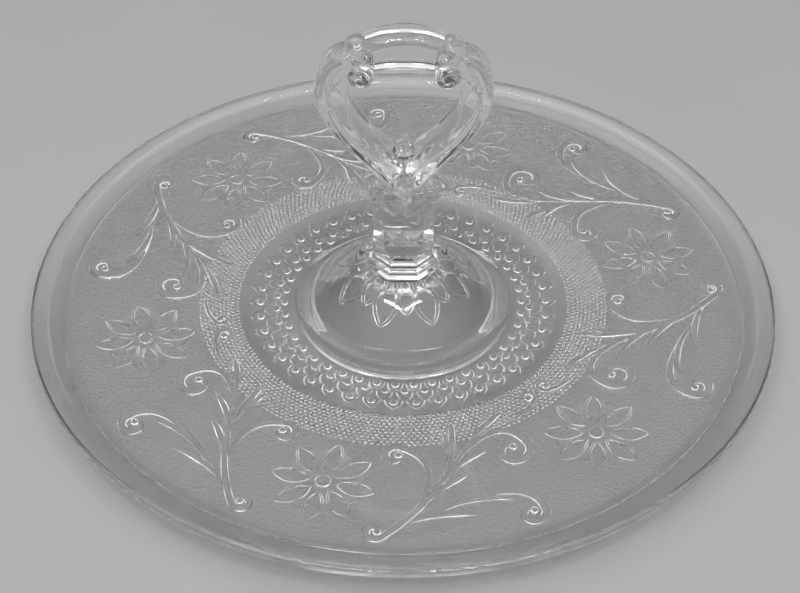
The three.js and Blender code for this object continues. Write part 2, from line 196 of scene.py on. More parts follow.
# Rows of the ring round the foot: distances from the axis, and a share of the pitch
RING_ROWS = [
    {"bead": 53.0 * MM, "foot": 52.0 * MM, "bend": 57.2 * MM, "apex": 57.2 * MM, "shift": 0.5},
    {"bead": 56.7 * MM, "foot": 56.0 * MM, "bend": 62.4 * MM, "apex": 62.4 * MM, "shift": 0.0},
    {"bead": 64.2 * MM, "foot": 61.8 * MM, "bend": 66.0 * MM, "apex": 69.0 * MM, "shift": 0.5},
]


def underside(radius, rim=PLATE_HIGH.x - LIP_RADIUS):
    """Height of the plate's underside"""
    corners = [(0, FOOT_HEIGHT), (WELL_EDGE, FOOT_HEIGHT), (BAND_EDGE, BAND_UNDER),
               (BORDER_EDGE, BORDER_UNDER), (rim, RIM_UNDER)]
    for (r0, z0), (r1, z1) in zip(corners, corners[1:]):
        if radius <= r1:
            break
    return z0 + (z1 - z0) * (radius - r0) / (r1 - r0)


def hollow_side(radius):
    """Height of the ceiling and the sloping side of the hollow"""
    return CEILING - max(0.0, radius - CEILING_RADIUS) * HOLLOW_SLOPE


def smooth(t, start=0.0, end=1.0):
    """Ease from 0 to 1 between two values"""
    t = min(max((t - start) / (end - start), 0.0), 1.0)
    return t * t * (3 - 2 * t)


def mix(a, b, t):
    """Part of the way from one value to another"""
    return a + (b - a) * t


def polar(degrees, radius):
    """A point in plan"""
    angle = math.radians(degrees)
    return Vector((radius * math.cos(angle), radius * math.sin(angle)))


def turned(point, angle):
    """A point in plan, turned about the axis"""
    return Vector((point.x * math.cos(angle) - point.y * math.sin(angle),
                   point.x * math.sin(angle) + point.y * math.cos(angle)))


def quadratic(start, bend, end, steps):
    """Points along a curve that bends once"""
    return [start.lerp(bend, i / steps).lerp(bend.lerp(end, i / steps), i / steps) for i in range(steps + 1)]


def cubic(a, b, c, d, steps):
    """Points along a curve with two handles"""
    points = []
    for i in range(steps + 1):
        t = i / steps
        ab, bc, cd = a.lerp(b, t), b.lerp(c, t), c.lerp(d, t)
        points.append(ab.lerp(bc, t).lerp(bc.lerp(cd, t), t))
    return points


# Meshes
def to_object(bm, name, materials=()):
    """A bmesh becomes an object at the origin"""
    mesh = bpy.data.meshes.new(name)
    bm.to_mesh(mesh)
    bm.free()
    for material in materials:
        mesh.materials.append(material)
    obj = bpy.data.objects.new(name, mesh)
    bpy.context.scene.collection.objects.link(obj)
    return obj


def settle(obj):
    """Make an object's modifiers part of its mesh"""
    depsgraph = bpy.context.evaluated_depsgraph_get()
    mesh = bpy.data.meshes.new_from_object(obj.evaluated_get(depsgraph))
    obj.modifiers.clear()
    old = obj.data
    obj.data = mesh
    bpy.data.meshes.remove(old)
    obj.data.name = obj.name


def fuse(obj, tools):
    """Join shapes to an object as one skin of glass"""
    shapes = bpy.data.collections.new(obj.name + "_shapes")
    bpy.context.scene.collection.children.link(shapes)
    for tool in tools:
        shapes.objects.link(tool)
    union = obj.modifiers.new("union", "BOOLEAN")
    union.operation = "UNION"
    union.operand_type = "COLLECTION"
    union.solver = "MANIFOLD"
    union.collection = shapes
    before = len(obj.data.polygons)
    settle(obj)
    if len(obj.data.polygons) == before:
        raise RuntimeError(f"the shapes of {obj.name} could not be fused")
    while obj.data.materials and obj.data.materials[-1] is None:
        obj.data.materials.pop()
    for tool in tools:
        mesh = tool.data
        bpy.data.objects.remove(tool)
        bpy.data.meshes.remove(mesh)
    bpy.data.collections.remove(shapes)


def shade(obj, sharp_degrees):
    """Smooth shading that stops at sharp edges and where one finish meets another"""
    limit = math.radians(sharp_degrees)
    bm = bmesh.new()
    bm.from_mesh(obj.data)
    for face in bm.faces:
        face.smooth = True
    for edge in bm.edges:
        finishes = {face.material_index for face in edge.link_faces}
        edge.smooth = len(finishes) == 1 and edge.calc_face_angle() < limit
    bm.to_mesh(obj.data)
    bm.free()


def dress(obj, node):
    """Set a piece on the frame in place of its CAD node"""
    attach(obj, "root")
    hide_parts(node)


def recalc(bm):
    """Turn a closed shape's faces outwards"""
    bmesh.ops.recalc_face_normals(bm, faces=bm.faces[:])
    return bm


def revolve(corners, steps, fine=0.9 * MM):
    """Spin a section about the axis, each corner (radius, height, rounding); a fine rounding has few steps"""
    bm = bmesh.new()
    verts = [bm.verts.new((r, 0, z)) for r, z, rounding in corners]
    for a, b in zip(verts, verts[1:]):
        bm.edges.new((a, b))
    for vert, (r, z, rounding) in zip(verts, corners):
        if rounding:
            bmesh.ops.bevel(
                bm, geom=[vert], offset=rounding, offset_type="OFFSET",
                segments=2 if rounding < fine else 4, profile=0.5, affect="VERTICES", material=-1)
    bmesh.ops.spin(
        bm, geom=bm.verts[:] + bm.edges[:], cent=ORIGIN, axis=AXIS, angle=2 * math.pi,
        steps=steps, use_merge=True)
    bmesh.ops.remove_doubles(bm, verts=bm.verts[:], dist=TINY)
    bmesh.ops.dissolve_degenerate(bm, dist=TINY / 10, edges=bm.edges[:])
    return recalc(bm)


def sweep(bm, frames, sides, shape=None):
    """Draw a closed bar of glass through frames, one extrusion for each"""
    ring = bmesh.ops.create_circle(bm, cap_ends=True, segments=sides, radius=1)["verts"]
    if shape:
        for vert in ring:
            vert.co = shape(vert.co)
    bmesh.ops.transform(bm, matrix=frames[0], verts=ring)
    edges = list({edge for vert in ring for edge in vert.link_edges})
    for before, after in zip(frames, frames[1:]):
        made = bmesh.ops.extrude_edge_only(bm, edges=edges)["geom"]
        fresh = {item for item in made if isinstance(item, bmesh.types.BMVert)}
        edges = [item for item in made
                 if isinstance(item, bmesh.types.BMEdge) and fresh.issuperset(item.verts)]
        bmesh.ops.transform(bm, matrix=after @ before.inverted(), verts=list(fresh))
    bmesh.ops.contextual_create(bm, geom=edges)


def draped(path, surface, width, height, swell, sink=0.1 * MM):
    """Frames along a path in plan, laid on a surface, with an oval section"""
    frames = []
    last = len(path) - 1
    for i, point in enumerate(path):
        along = (path[min(i + 1, last)] - path[max(i - 1, 0)]).normalized()
        share = swell(i / last)
        across = Vector((-along.y, along.x, 0)) * share * width / 2
        rise = AXIS * share * height
        place = Vector((point.x, point.y, surface(point.length) + sink))
        frames.append(Matrix((
            (across.x, rise.x, along.x, place.x),
            (across.y, rise.y, along.y, place.y),
            (across.z, rise.z, 0, place.z),
            (0, 0, 0, 1))))
    return frames


def repeat(bm, count):
    """Copies of everything, evenly round the axis"""
    if count > 1:
        bmesh.ops.spin(
            bm, geom=bm.verts[:] + bm.edges[:] + bm.faces[:], cent=ORIGIN, axis=AXIS,
            angle=2 * math.pi * (count - 1) / count, steps=count - 1, use_duplicate=True)
    return bm


def rotated(bm, degrees):
    """Everything, turned about the axis"""
    turn = Matrix.Rotation(math.radians(degrees), 3, "Z")
    bmesh.ops.rotate(bm, cent=ORIGIN, matrix=turn, verts=bm.verts[:])
    return bm


def bead(bm, point, surface, radius, height, segments=12, rings=8):
    """A flattened ball, half sunk in the surface"""
    place = Matrix.Translation((point.x, point.y, surface(point.length)))
    squash = Matrix.Diagonal((1, 1, height / radius, 1))
    bmesh.ops.create_uvsphere(bm, u_segments=segments, v_segments=rings, radius=radius, matrix=place @ squash)


# Relief of the plate
def leaf_swell(t):
    """Share of a leaf's width along it: thin ends, fullest nearer the tip"""
    return mix(0.2, 1.0, math.sin(math.pi * t ** 1.4) ** 0.8)


def scroll_swell(t):
    """Share of a scroll's width along it: thin at the root, full, and finer in the coil"""
    return mix(0.3, 1.0, smooth(t, 0.0, 0.4)) * mix(1.0, 0.5, smooth(t, 0.6, 1.0))


def even_swell(t):
    """Share of a line's width along it: even, with thinner ends"""
    return mix(0.35, 1.0, math.sin(math.pi * t) ** 0.35)


def scroll_path(root, lean, bend, eye, curl, turn, stem_steps=15, coil_steps=22):
    """A stem that runs by way of two handles and then winds in round an eye"""
    coil_turn, eye_share = 1.75 * math.pi, 0.3
    to_eye = eye - bend
    aside = math.asin(curl / to_eye.length)
    reach = math.sqrt(to_eye.length_squared - curl ** 2)
    touch = bend + turned(to_eye.normalized(), -turn * aside) * reach
    path = cubic(root, lean, bend, touch, stem_steps)
    spoke = touch - eye
    for i in range(1, coil_steps + 1):
        t = i / coil_steps
        path.append(eye + turned(spoke, turn * coil_turn * t) * mix(1.0, eye_share, t))
    return path


def in_border(degrees, across):
    """A point in plan, by a share of the way across the border"""
    return polar(degrees, mix(BAND_EDGE, BORDER_EDGE, across))


def spray_shapes(sizes, pair_turn=73.9, pair_count=3):
    """The scrolls, strokes and beads of the six sprays, in three mirrored pairs"""
    shapes = []

    def stroke(name, path, width, swell):
        """One stroke of every spray, and its mirrored twin"""
        for side in (1, -1):
            bm = bmesh.new()
            sided = [Vector((point.x, side * point.y)) for point in path]
            sweep(bm, draped(sided, underside, width, sizes.relief, swell), STROKE_SIDES)
            shapes.append(to_object(recalc(repeat(rotated(bm, pair_turn), pair_count)), f"{name}_{side}"))

    beads = bmesh.new()
    for i, scroll in enumerate(SCROLLS):
        root, lean, bend, eye = (in_border(*scroll[key]) for key in ("root", "lean", "bend", "eye"))
        curl = scroll["curl"] * BORDER_WIDTH
        path = scroll_path(root, lean, bend, eye, curl, scroll["turn"])
        stroke(f"scroll_{i}", path, min(sizes.stroke, curl * 0.85), scroll_swell)
        for side in (1, -1):
            coil_end = Vector((path[-1].x, side * path[-1].y))
            bead(beads, coil_end, underside, radius=1.8 * MM, height=sizes.relief * 1.3)
    shapes.append(to_object(recalc(repeat(rotated(beads, pair_turn), pair_count)), "scroll_eyes"))
    for i, leaf in enumerate(LEAVES):
        root, bend, tip = (in_border(*leaf[key]) for key in ("root", "bend", "tip"))
        stroke(f"leaf_{i}", quadratic(root, bend, tip, 12), sizes.stroke * 0.85, leaf_swell)
    return shapes


def petal_edge(bm, centre, degrees, start, end, half_width, side, surface, width, height, steps=10):
    """One edge of a pointed petal"""
    out = polar(degrees, 1)
    aside = Vector((-out.y, out.x)) * side * half_width * 2
    bend = centre + out * mix(start, end, 0.5) + aside
    path = quadratic(centre + out * start, bend, centre + out * end, steps)
    sweep(bm, draped(path, surface, width, height, even_swell), STROKE_SIDES)


def flower_shapes(sizes, count=6, turn=13.9, across=0.555, petals=8):
    """Six flowers: outlined petals round a bead, over a second ring of lobes"""
    centre = in_border(0, across)
    shapes = []
    for side in (1, -1):
        bm = bmesh.new()
        for i in range(petals):
            petal_edge(
                bm, centre, i * 360 / petals, start=5.5 * MM, end=22 * MM, half_width=3.7 * MM, side=side,
                surface=underside, width=1.5 * MM, height=sizes.relief * 0.6)
        shapes.append(to_object(recalc(repeat(rotated(bm, turn), count)), f"petal_edge_{side}"))
    lobes = bmesh.new()
    beads = bmesh.new()
    for i in range(petals):
        between = centre + polar((i + 0.5) * 360 / petals, 14 * MM)
        bead(lobes, between, underside, radius=3.8 * MM, height=0.5 * MM, segments=14)
    bead(beads, centre, underside, radius=3.3 * MM, height=1.5 * MM, segments=20, rings=10)
    shapes.append(to_object(recalc(repeat(rotated(lobes, turn), count)), "lobes"))
    shapes.append(to_object(recalc(repeat(rotated(beads, turn), count)), "flower_beads"))
    return shapes


def ring_shapes(sizes, turn=5.1, line=1.2 * MM):
    """Three staggered rows of scales round the foot: beads under arches, the outermost pointed"""
    pitch = 2 * math.pi / sizes.scales
    shapes = []
    for i, row in enumerate(RING_ROWS):
        half = row["foot"] * pitch / 2 - line * 0.55
        apex = Vector((row["apex"], 0))
        feet = [Vector((row["foot"], side * half)) for side in (-1, 1)]
        bends = [Vector((row["bend"], side * half)) for side in (-1, 1)]
        arch = quadratic(feet[0], bends[0], apex, 6) + quadratic(apex, bends[1], feet[1], 6)[1:]
        arches = bmesh.new()
        sweep(arches, draped(arch, underside, line, sizes.relief * 0.9, even_swell), STROKE_SIDES)
        beads = bmesh.new()
        bead(
            beads, polar(0, row["bead"]), underside, radius=1.9 * MM, height=sizes.relief,
            segments=10, rings=6)
        for bm, name in ((arches, f"arches_{i}"), (beads, f"ring_beads_{i}")):
            rotated(bm, turn + math.degrees(pitch) * row["shift"])
            shapes.append(to_object(recalc(repeat(bm, sizes.scales)), name))
    return shapes


def bead_rows(rows=10, first=75 * MM, spacing=1.76 * MM, count=222, size=0.75 * MM, height=0.6 * MM):
    """Staggered rows of small beads at the border's inner edge"""
    shapes = []
    for row in range(rows):
        bm = bmesh.new()
        bead(bm, polar(0, first + row * spacing), underside, size, height, segments=6, rings=4)
        rotated(bm, 180 / count * (row % 2))
        shapes.append(to_object(recalc(repeat(bm, count)), f"bead_row_{row}"))
    return shapes


def hollow_shapes(sizes, petals=8, turn=26):
    """The flower in the hollow of the dome, in two rings of petals"""
    shapes = []
    for name, ring in HOLLOW_RINGS.items():
        for side in (1, -1):
            bm = bmesh.new()
            petal_edge(
                bm, Vector((0, 0)), 0, ring["start"], ring["end"], ring["half_width"], side,
                surface=hollow_side, width=2.1 * MM, height=sizes.relief, steps=16)
            rotated(bm, turn + ring["shift"] * 360 / petals)
            shapes.append(to_object(recalc(repeat(bm, petals)), f"hollow_{name}_{side}"))
    return shapes


def plate_section(sizes):
    """Corners of the plate's section: the hollow's ceiling, the underside, the lip, the top and the crown"""
    lip = sizes.radius - LIP_RADIUS
    glass = sizes.glass
    top = FOOT_HEIGHT + glass
    flange = top + FLANGE_RISE
    return [
        (0, CEILING, 0),
        (CEILING_RADIUS, CEILING, 2.5 * MM),
        (MOUTH, 1.5 * MM, 0.6 * MM),
        (MOUTH, 0, 0.5 * MM),
        (FOOT_RADIUS, 0, 1.1 * MM),
        (FOOT_RADIUS, FOOT_HEIGHT, 1.0 * MM),
        (WELL_EDGE, FOOT_HEIGHT, 1.5 * MM),
        (BAND_EDGE, BAND_UNDER, 1.5 * MM),
        (BORDER_EDGE, BORDER_UNDER, 0.7 * MM),
        (RIDGE - RIDGE_HALF, underside(RIDGE - RIDGE_HALF), 0.2 * MM),
        (RIDGE, underside(RIDGE) - RIDGE_RISE, 0.4 * MM),
        (RIDGE + RIDGE_HALF, underside(RIDGE + RIDGE_HALF), 0.2 * MM),
        (lip, RIM_UNDER, 0.6 * MM),
        (sizes.radius, RIM_UNDER + 0.6 * MM, 2.2 * MM),
        (sizes.radius, LIP_TOP, 2.6 * MM),
        (LIP_INNER, LIP_TOP - 0.7 * MM, 0.7 * MM),
        (LIP_FOOT, LIP_TOP - 1.8 * MM, 0.5 * MM),
        (BORDER_EDGE, BORDER_UNDER + glass, 1.2 * MM),
        (BAND_EDGE, BAND_UNDER + glass, 1.5 * MM),
        (WELL_EDGE, top, 1.5 * MM),
        (FLANGE_FOOT, top, 0.5 * MM),
        (FLANGE_FACE, top + FLANGE_FACE_RISE, 1.4 * MM),
        (FLANGE_EDGE, flange, 1.8 * MM),
        (DOME_FOOT, flange, 1.5 * MM),
        (DOME_SHOULDER, top + DOME_SHOULDER_RISE, 8 * MM),
        (CROWN_EDGE, sizes.crown, 1.2 * MM),
        (COLLAR_FLAT, sizes.crown, 0),
        (0, sizes.crown, 0),
    ]


class CAKEPLATE_OT_plate(bpy.types.Operator):
    """Revolve the plate and press its relief into the underside"""
    bl_idname = "cakeplate.plate"
    bl_label = "Plate"

    def execute(self, context):
        sizes = context.scene.cake_plate_sizes
        finish = context.scene.cake_plate_glass
        bm = revolve(plate_section(sizes), sizes.steps)
        for face in bm.faces:
            middle = face.calc_center_median()
            radius = middle.xy.length
            if radius < COLLAR_FLAT and middle.z > sizes.crown - 10 * TINY:
                face.material_index = JOINT
            elif BAND_EDGE < radius < BORDER_EDGE and face.normal.z < 0:
                face.material_index = STIPPLED
        plate = to_object(bm, "plate", [
            polished_glass(finish), stippled_glass(finish), fused_joint(finish), pressed_glass(finish)])
        relief = spray_shapes(sizes) + flower_shapes(sizes) + ring_shapes(sizes)
        relief += bead_rows() + hollow_shapes(sizes)
        for shape in relief:
            shape.data.polygons.foreach_set("material_index", [PRESSED] * len(shape.data.polygons))
        fuse(plate, relief)
        shade(plate, sharp_degrees=60)
        dress(plate, "plate")
        return {"FINISHED"}


# Handle
SEAT = PLATE_HIGH.z + 0.02 * MM
WAIST = 38.5 * MM
POST_FOOT = 45.5 * MM
POST_TOP = 73.5 * MM
POST_WIDTH = 26.6 * MM
POST_DEPTH = 19 * MM
POST_CHAMFER = 4.6 * MM
POST_SHOULDER = 3 * MM
POST_ROUND = 0.6 * MM
COLLAR_FLAT = 16.8 * MM
WAIST_FLAT = 11.6 * MM
POST_ROOT = WAIST - 4 * MM
POST_ROOT_FLAT = WAIST_FLAT * 0.85
LOOP_ROOT = 77 * MM
LOOP_WIDEST = 121.5 * MM
LOOP_SHOULDER = 137 * MM
SHOULDER_HALF = 18.5 * MM
ARM_LEAN = 53
ARM_DEPTH = 15 * MM
ARM_WIDTH = 14 * MM
ROOT_WIDTH = 11.6 * MM
END_NARROWER = 2.6 * MM
END_SHALLOWER = 1.6 * MM
ROOT_DEPTH = POST_DEPTH + 2.4 * MM
ARCH_WIDTH = 17 * MM
ARCH_END = 11.4 * MM
BOSS = Vector((0, 0, 91.8 * MM))
BOSS_RADIUS = 5.5 * MM
ARM_FOOT = Vector((-13, 87.5)) * MM
TAIL_TIP = Vector((1.4, 61.3)) * MM
TAIL_DEPTH = POST_DEPTH + 3.2 * MM
EAR = Vector((11.8, 72)) * MM
EAR_RADIUS = 4.2 * MM
EAR_SPAN = 19 * MM
VOLUTE = Vector((17.6, 134.8)) * MM
VOLUTE_SPAN = ARM_DEPTH + 12 * MM
VOLUTE_CAP = 4.6 * MM
KNOB = Vector((19.2, 143.2)) * MM
KNOB_RADIUS = 5.2 * MM
KNOB_REACH = 8.2 * MM
KNOB_DROP = 3.2 * MM

# Shares of an arm's length over which it deepens at its root, swells, and narrows into the shoulder
ARM_DEEP = (0.0, 0.35)
ARM_SWELL = (0.2, 0.7)
ARM_END = (0.86, 1.0)


def eight_sided(bm, z, width, depth, chamfer):
    """The edges of a rectangle with cut corners, lying flat"""
    place = Matrix.Translation((0, 0, z)) @ Matrix.Diagonal((width, depth, 1, 1))
    verts = bmesh.ops.create_grid(bm, x_segments=1, y_segments=1, size=0.5, matrix=place)["verts"]
    made = bmesh.ops.bevel(
        bm, geom=list(verts), offset=chamfer, offset_type="OFFSET", segments=1, profile=0.5,
        affect="VERTICES", material=-1)
    edges = {edge for vert in made["verts"] for edge in vert.link_edges}
    faces = {face for edge in edges for face in edge.link_faces}
    bmesh.ops.delete(bm, geom=list(faces), context="FACES_ONLY")
    return list(edges)


def octagon(bm, z, flat):
    """The edges of an even octagon, by the distance from its middle to a side"""
    return eight_sided(bm, z, 2 * flat, 2 * flat, flat * (2 - math.sqrt(2)))


def stack(bm, loops):
    """Skin a pile of eight-sided loops and close its ends"""
    for low, high in zip(loops, loops[1:]):
        bmesh.ops.bridge_loops(bm, edges=low + high)
    bmesh.ops.holes_fill(bm, edges=loops[0] + loops[-1], sides=8)
    return recalc(bm)


def soften(bm, edges, width):
    """Round edges off"""
    bmesh.ops.bevel(
        bm, geom=edges, offset=width, offset_type="OFFSET", segments=3, profile=0.5,
        affect="EDGES", material=-1)
    return recalc(bm)


def post_shape():
    """The square post with cut corners, narrowed at its foot to the waist and a root inside the collar"""
    bm = bmesh.new()
    stack(bm, [
        octagon(bm, POST_ROOT, POST_ROOT_FLAT),
        octagon(bm, WAIST, WAIST_FLAT),
        eight_sided(bm, POST_FOOT, POST_WIDTH, POST_DEPTH, POST_CHAMFER),
        eight_sided(bm, POST_TOP - POST_SHOULDER, POST_WIDTH, POST_DEPTH, POST_CHAMFER),
        eight_sided(bm, POST_TOP, POST_WIDTH - POST_SHOULDER, POST_DEPTH - POST_SHOULDER, POST_CHAMFER),
    ])
    return soften(bm, bm.edges[:], POST_ROUND)


def upright(path, width_at, depth_at):
    """Frames along a path in the XZ plane"""
    frames = []
    last = len(path) - 1
    for i, point in enumerate(path):
        along = (path[min(i + 1, last)] - path[max(i - 1, 0)]).normalized()
        across = Vector((along.z, 0, -along.x)) * width_at(i / last) / 2
        depth = depth_at(i / last) / 2
        frames.append(Matrix((
            (across.x, 0, along.x, point.x),
            (0, depth, 0, point.y),
            (across.z, 0, along.z, point.z),
            (0, 0, 0, 1))))
    return frames


def squarish(co, power=2 / 4.2):
    """A circle's point moved out to a rounded square"""
    return Vector((math.copysign(abs(co.x) ** power, co.x), math.copysign(abs(co.y) ** power, co.y), 0))


def arm_shape(bm, sizes, side):
    """One arm of the heart, from its point out to the widest place and in to the shoulder"""
    lean = math.radians(ARM_LEAN)
    low = (LOOP_WIDEST - LOOP_ROOT) * 0.4
    high = (LOOP_SHOULDER - LOOP_WIDEST) * 0.5
    widest = sizes.half_width
    root = Vector((0, 0, LOOP_ROOT))
    middle = Vector((side * widest, 0, LOOP_WIDEST))
    shoulder = Vector((side * SHOULDER_HALF, 0, LOOP_SHOULDER))
    path = cubic(
        root, root + Vector((side * low * math.cos(lean), 0, low * math.sin(lean))),
        middle - AXIS * low, middle, 26)
    path += cubic(middle, middle + AXIS * high, shoulder + Vector((side * high, 0, 0)), shoulder, 16)[1:]

    def width_at(t):
        return mix(ROOT_WIDTH, ARM_WIDTH, smooth(t, *ARM_SWELL)) - END_NARROWER * smooth(t, *ARM_END)

    def depth_at(t):
        return mix(ROOT_DEPTH, ARM_DEPTH, smooth(t, *ARM_DEEP)) - END_SHALLOWER * smooth(t, *ARM_END)

    sweep(bm, upright(path, width_at, depth_at), BAR_SIDES, squarish)


def arch_shape(bm, sizes):
    """The bridge between the shoulders, thickest in the middle"""
    left = Vector((-SHOULDER_HALF, 0, LOOP_SHOULDER))
    right = Vector((SHOULDER_HALF, 0, LOOP_SHOULDER))
    rise = 2 * (sizes.top - ARCH_WIDTH / 2 - LOOP_SHOULDER)
    path = quadratic(left, Vector((0, 0, LOOP_SHOULDER + rise)), right, 24)

    def width_at(t):
        return mix(ARCH_END, ARCH_WIDTH, math.sin(math.pi * t))

    def depth_at(t):
        return mix(ARM_DEPTH - END_SHALLOWER, ARM_DEPTH, math.sin(math.pi * t) ** 0.4)

    sweep(bm, upright(path, width_at, depth_at), BAR_SIDES, squarish)


def bar(bm, points, thick):
    """A thin round bar through points, thinner at its ends"""
    frames = []
    last = len(points) - 1
    for i, point in enumerate(points):
        along = (points[min(i + 1, last)] - points[max(i - 1, 0)]).normalized()
        size = thick * mix(0.5, 1.0, math.sin(math.pi * i / last) ** 0.4)
        frames.append(Matrix.Translation(point) @ along.to_track_quat("Z", "Y").to_matrix().to_4x4()
                      @ Matrix.Diagonal((size, size, 1, 1)))
    sweep(bm, frames, STROKE_SIDES)


def roll(bm, x, z, radius, span, cap, waist, rings=7, neck=4):
    """A roll of glass along Y with domed ends, narrowed to a waist between them"""
    place = Matrix.Translation((x, 0, z)) @ Matrix.Rotation(-math.pi / 2, 4, "X")
    stations = []
    for i in range(rings + 1):
        angle = math.pi / 2 * (1 - i / rings)
        stations.append((span / 2 - cap + cap * math.sin(angle), radius * max(math.cos(angle), 0.02)))
    for i in range(1, neck + 1):
        stations.append((span / 2 - cap - i * MM, radius * mix(1.0, waist, smooth(i / neck))))
    stations = [(-y, size) for y, size in stations] + stations[::-1]
    frames = [
        place @ Matrix.Translation((0, 0, y)) @ Matrix.Diagonal((size, size, 1, 1)) for y, size in stations
    ]
    sweep(bm, frames, BAR_SIDES)


def swirl(bm, x, z, radius, span, cap, end, hand, turns, steps=46, thick=0.62 * MM):
    """A raised spiral on the end of a roll"""
    points = []
    for i in range(steps + 1):
        t = i / steps
        tilt = mix(0.12, 1.2, t)
        angle = hand * 2 * math.pi * turns * t
        points.append(Vector((
            x + radius * math.sin(tilt) * math.cos(angle),
            end * (span / 2 - cap + cap * math.cos(tilt)),
            z + radius * math.sin(tilt) * math.sin(angle))))
    bar(bm, points, thick)


def scroll_end(rolls, swirls, place, side, radius, span, cap, waist, turns):
    """A roll with a raised spiral on its front end and its back end"""
    x = side * place.x
    roll(rolls, x, place.y, radius, span, cap, waist)
    for end in (-1, 1):
        swirl(swirls, x, place.y, radius, span, cap, end, side * end, turns)


def knob(bm, x, z, radius, reach, drop, steps=20, sides=24):
    """A ball drawn out and down to the front and back"""
    path = cubic(
        Vector((x, -reach, z - drop)), Vector((x, -reach / 2, z)), Vector((x, reach / 2, z)),
        Vector((x, reach, z - drop)), steps)
    frames = []
    for i, point in enumerate(path):
        size = mix(0.3, 1.0, math.sin(math.pi * i / steps) ** 0.9) * radius
        frames.append(Matrix.Translation(point) @ Matrix.Rotation(-math.pi / 2, 4, "X")
                      @ Matrix.Diagonal((size, size, 1, 1)))
    sweep(bm, frames, sides)


def curls(bm, middle, radius, lean=48, turns=1.2, steps=30, thick=0.55 * MM):
    """A raised curl on the front slope of a ball, and one on the back"""
    for end in (-1, 1):
        facing = Matrix.Rotation(math.radians(end * -lean), 4, "X")
        points = []
        for i in range(steps + 1):
            angle = turns * 2 * math.pi * i / steps
            wide = radius * mix(0.15, 0.6, i / steps)
            rise = math.sqrt(radius ** 2 - wide ** 2)
            points.append(middle + facing @ Vector((wide * math.cos(angle), wide * math.sin(angle), rise)))
        bar(bm, points, thick)


def ray_tree(obj):
    """A shape's faces, sorted so that a ray can find them"""
    mesh = obj.data
    corners = [vert.co for vert in mesh.vertices]
    return BVHTree.FromPolygons(corners, [face.vertices for face in mesh.polygons])


def tail_edge(steps=16):
    """The tail's left edge, from the left arm's foot down to the tip"""
    return cubic(ARM_FOOT, Vector((-6.5, 81.3)) * MM, Vector((0.2, 70.5)) * MM, TAIL_TIP, steps)


def lie_on(trees, line, end, sink=0.2 * MM, passes=3):
    """Places along a line, a little under the front or back of the glass, evened out"""
    away = Vector((0, end, 0))
    fronts = []
    for spot in line:
        start = Vector((spot.x, 0, spot.y)) + away
        hits = [tree.ray_cast(start, -away)[0] for tree in trees]
        fronts.append(max(end * hit.y for hit in hits if hit) - sink)
    last = len(fronts) - 1
    for _ in range(passes):
        fronts = [
            (fronts[max(i - 1, 0)] + fronts[i] + fronts[min(i + 1, last)]) / 3 for i in range(last + 1)
        ]
    return [Vector((spot.x, end * front, spot.y)) for spot, front in zip(line, fronts)]


def edge_lines(bm, trees, thick=0.85 * MM):
    """The raised lines along the arms' outer edges; the left one runs on to the tail's tip"""
    shoulder = Vector((-22.7, 133)) * MM
    widest = Vector((-31.3, 118.5)) * MM
    arm = cubic(shoulder, Vector((-27.5, 129.5)) * MM, Vector((-31.3, 124.5)) * MM, widest, 10)
    arm += cubic(widest, Vector((-31.3, 109)) * MM, Vector((-23, 97)) * MM, ARM_FOOT, 18)[1:]
    inset = Vector((0.6 * MM, 0))
    tail = [spot + inset for spot in tail_edge()[1:-1]]
    mirrored = [Vector((-spot.x, spot.y)) for spot in arm]
    for line in (arm + tail, mirrored):
        for end in (-1, 1):
            bar(bm, lie_on(trees, line, end), thick)


def tail_shape(on_arm=4):
    """The pointed tail in which the heart ends; its edge's first steps lie on the arm and are left out"""
    bm = bmesh.new()
    right = Vector((4.3, 69.5)) * MM
    top = Vector((4.6, 82.5)) * MM
    outline = quadratic(TAIL_TIP, Vector((4.6, 64)) * MM, right, 8)[:-1]
    outline += quadratic(right, Vector((2.2, 76)) * MM, top, 8)
    outline += tail_edge()[on_arm:-1]
    verts = [bm.verts.new((p.x, -TAIL_DEPTH / 2, p.y)) for p in outline]
    front = bm.faces.new(verts)
    made = bmesh.ops.extrude_face_region(bm, geom=[front])["geom"]
    back = [item for item in made if isinstance(item, bmesh.types.BMVert)]
    bmesh.ops.translate(bm, vec=(0, TAIL_DEPTH, 0), verts=back)
    recalc(bm)
    square = math.radians(80)
    return soften(bm, [edge for edge in bm.edges if edge.calc_face_angle() > square], width=0.5 * MM)


def collar_shape(steps=3, riser=0.6):
    """The stepped eight-sided collar, from the joint up to the waist"""
    bm = bmesh.new()
    loops = []
    for i in range(steps):
        flat = mix(COLLAR_FLAT, WAIST_FLAT, i / steps)
        for level in (i, i + riser):
            loops.append(octagon(bm, mix(SEAT, WAIST, level / steps), flat))
    loops.append(octagon(bm, WAIST, WAIST_FLAT))
    stack(bm, loops)
    above = [edge for edge in bm.edges if max(vert.co.z for vert in edge.verts) > SEAT + TINY]
    soften(bm, above, width=0.4 * MM)
    for face in bm.faces:
        if face.calc_center_median().z < SEAT + TINY:
            face.material_index = HANDLE_JOINT
    return bm


def loop_bars(sizes, passes=20):
    """The arms and the bridge, melted into one bar and polished"""
    bm = bmesh.new()
    for side in (1, -1):
        arm_shape(bm, sizes, side)
    arch_shape(bm, sizes)
    handle = to_object(recalc(bm), "handle")
    melt = handle.modifiers.new("melt", "REMESH")
    melt.mode = "VOXEL"
    melt.voxel_size = sizes.voxel
    polish = handle.modifiers.new("polish", "SMOOTH")
    polish.factor = 0.5
    polish.iterations = passes
    settle(handle)
    return handle


